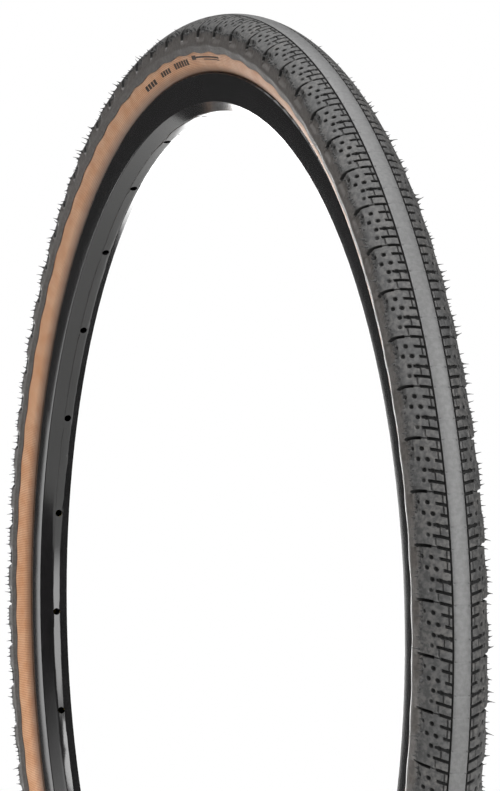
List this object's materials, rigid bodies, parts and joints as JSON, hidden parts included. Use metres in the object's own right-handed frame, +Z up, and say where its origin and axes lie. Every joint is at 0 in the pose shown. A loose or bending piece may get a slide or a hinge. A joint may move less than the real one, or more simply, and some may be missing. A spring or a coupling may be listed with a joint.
{
  "type": "bicycle tire",
  "caption": "700C gravel bicycle tire with black block tread and tan sidewalls, inflated on a black hollow rim with spoke holes and a Presta valve.",
  "frame": {"origin": "the wheel's centre, on the axle line and the rim's middle plane", "axes": "+Y along the axle, the wheel standing in the XZ plane with +Z up; -Y is the left side"},
  "size_m": [0.7008, 0.038, 0.7008],
  "materials": {
    "tread_rubber": "matt moulded rubber",
    "tan_skin": "thin tan rubber over woven casing threads",
    "belt_fabric": "dense woven belt",
    "casing_cord": "rubbered nylon cord",
    "liner_rubber": "smooth",
    "bead_fibre": "aramid bundle",
    "chafer_fabric": "rubbered fabric",
    "rim_black": "black anodised, satin",
    "sleeve_aluminium": "plain",
    "tape_film": "tape",
    "valve_brass": "nickel plated",
    "nut_aluminium": "black anodised",
    "seal_rubber": "moulded"
  },
  "bodies": {
    "root": {"tread": "tread_rubber", "breaker_belt": "belt_fabric", "casing_ply_outer": "casing_cord", "casing_ply_inner": "casing_cord", "inner_liner": "liner_rubber", "sidewall_left": "tan_skin", "sidewall_right": "tan_skin", "bead_core_left": "bead_fibre", "bead_core_right": "bead_fibre", "chafer_left": "chafer_fabric", "chafer_right": "chafer_fabric", "rim": "rim_black", "rim_joint_sleeve": "sleeve_aluminium", "rim_tape": "tape_film", "valve_stem": "valve_brass", "valve_base": "seal_rubber", "valve_o_ring": "seal_rubber", "valve_core_body": "valve_brass", "valve_core_gasket": "seal_rubber"},
    "lock_nut": {"valve_lock_nut": "nut_aluminium"},
    "core_pin": {"valve_core_pin": "valve_brass", "valve_core_seal": "seal_rubber"},
    "core_nut": {"valve_core_nut": "valve_brass"}
  },
  "joints": [
    {"name": "lock_nut_turn", "type": "hinge", "parent": "root", "child": "lock_nut", "pos_m": [-0.02739, 0, -0.28825], "axis": [-0.0946, 0, -0.9955], "continuous": true},
    {"name": "core_pin_press", "type": "slide", "parent": "root", "child": "core_pin", "axis": [-0.0946, 0, -0.9955], "range_m": [0, 0.0012], "stiffness_N_per_m": 300, "springref_m": -0.0005},
    {"name": "core_nut_turn", "type": "hinge", "parent": "core_pin", "child": "core_nut", "pos_m": [-0.02479, 0, -0.26082], "axis": [-0.0946, 0, -0.9955], "continuous": true}
  ]
}
